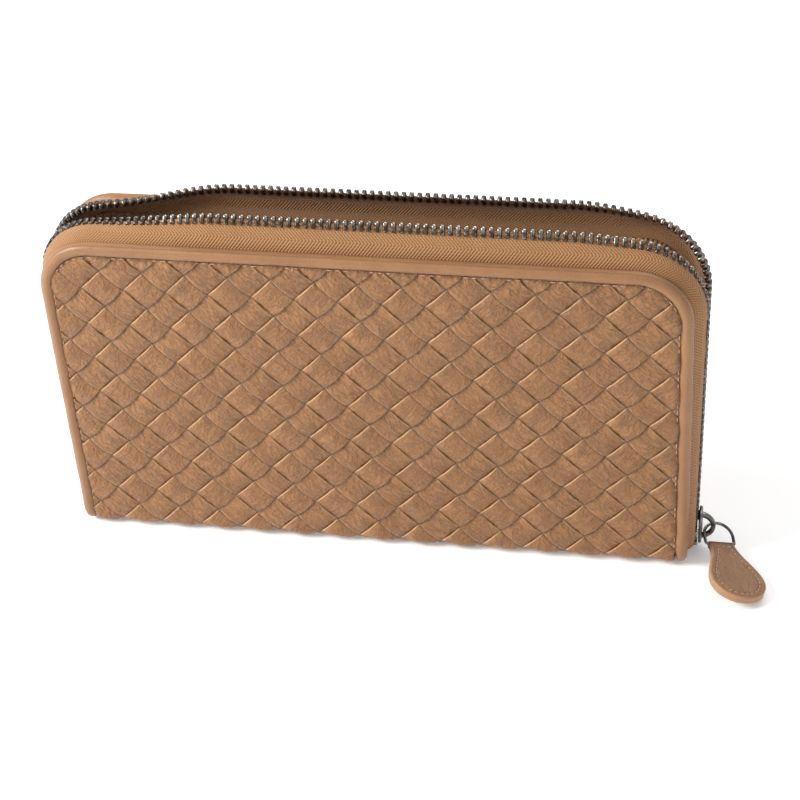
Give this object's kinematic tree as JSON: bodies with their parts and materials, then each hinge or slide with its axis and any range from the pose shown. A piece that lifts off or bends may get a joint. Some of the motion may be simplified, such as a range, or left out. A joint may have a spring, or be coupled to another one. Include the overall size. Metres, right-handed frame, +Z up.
{
  "type": "zip around wallet",
  "caption": "Zip around wallet in woven leather, standing open on its spine, with card pockets, a zipped coin pocket and a leather zip pull.",
  "frame": {"origin": "centre of the spine's flat underside", "axes": "+X along the spine to the slider's side, +Z up the standing wallet, -Y towards the front cover"},
  "size_m": [0.222, 0.0467, 0.1185],
  "materials": {
    "woven_leather": "woven straps of soft grained camel leather, satin",
    "piping_leather": "smooth rolled camel leather, slight gloss",
    "zip_tape": "twill woven tape in camel",
    "zip_metal": "antique gunmetal, worn bright on the crests",
    "slider_metal": "dark gunmetal, polished",
    "pull_leather": "grained camel leather, satin",
    "stiffener": "pale bonded fibre board",
    "pocket_leather": "thin fine grained leather, satin",
    "lining_leather": "thin pebbled leather, satin"
  },
  "bodies": {
    "spine": {"spine_leather": "woven_leather", "spine_lining": "lining_leather", "front_fold_leather": "woven_leather", "back_fold_leather": "woven_leather", "coin_front_wall": "lining_leather", "coin_back_wall": "lining_leather", "coin_floor": "lining_leather", "coin_left_side": "lining_leather", "coin_right_side": "lining_leather", "coin_front_tape": "zip_tape", "coin_back_tape": "zip_tape", "coin_front_teeth": "zip_metal", "coin_back_teeth": "zip_metal", "coin_zip_stops": "zip_metal", "front_left_gusset": "lining_leather", "front_right_gusset": "lining_leather", "back_left_gusset": "lining_leather", "back_right_gusset": "lining_leather", "zip_bottom_stop": "zip_metal"},
    "front_cover": {"front_woven_panel": "woven_leather", "front_board": "stiffener", "front_lining": "lining_leather", "front_piping": "piping_leather", "front_zip_tape": "zip_tape", "front_zip_teeth": "zip_metal", "front_zip_stop": "zip_metal", "front_bill_pocket": "pocket_leather", "front_card_slot_1": "pocket_leather", "front_card_slot_2": "pocket_leather", "front_card_slot_3": "pocket_leather", "front_card_slot_4": "pocket_leather"},
    "back_cover": {"back_woven_panel": "woven_leather", "back_board": "stiffener", "back_lining": "lining_leather", "back_piping": "piping_leather", "back_zip_tape": "zip_tape", "back_zip_teeth": "zip_metal", "back_zip_stop": "zip_metal", "back_bill_pocket": "pocket_leather", "back_card_slot_1": "pocket_leather", "back_card_slot_2": "pocket_leather", "back_card_slot_3": "pocket_leather", "back_card_slot_4": "pocket_leather"},
    "zip_slider": {"zip_slider_body": "slider_metal", "zip_slider_crown": "slider_metal"},
    "pull_ring": {"pull_ring": "slider_metal"},
    "pull_tab": {"pull_tab_face": "pull_leather", "pull_tab_back": "pull_leather"},
    "coin_slider": {"coin_zip_slider": "slider_metal"},
    "coin_pull": {"coin_zip_pull": "slider_metal"}
  },
  "joints": [
    {"name": "front_cover_fold", "type": "hinge", "parent": "spine", "child": "front_cover", "pos_m": [0, -0.008, 0.004], "axis": [1, 0, 0], "range_deg": [-1.2, 80], "deforming": ["front_fold_leather", "front_left_gusset", "front_right_gusset"]},
    {"name": "back_cover_fold", "type": "hinge", "parent": "spine", "child": "back_cover", "pos_m": [0, 0.008, 0.004], "axis": [-1, 0, 0], "range_deg": [-1.2, 80], "deforming": ["back_fold_leather", "back_left_gusset", "back_right_gusset"]},
    {"name": "zip_slide", "type": "slide", "parent": "front_cover", "child": "zip_slider", "axis": [0.016, -0.0349, 0.9993], "range_m": [0, 0.05]},
    {"name": "ring_swing", "type": "hinge", "parent": "zip_slider", "child": "pull_ring", "pos_m": [0.10249, 0, 0.0069], "axis": [0.4314, 0.9002, 0.0599], "range_deg": [-45, 8]},
    {"name": "pull_swing", "type": "hinge", "parent": "pull_ring", "child": "pull_tab", "pos_m": [0.10716, -0.00451, 0.00387], "axis": [0.9033, 0.3288, -0.2756], "range_deg": [-30, 30]},
    {"name": "coin_zip_slide", "type": "slide", "parent": "spine", "child": "coin_slider", "axis": [-1, 0, 0], "range_m": [0, 0.148]},
    {"name": "coin_pull_swing", "type": "hinge", "parent": "coin_slider", "child": "coin_pull", "pos_m": [0.0741, 0, 0.0877], "axis": [0, 1, 0], "range_deg": [0, 150]}
  ]
}
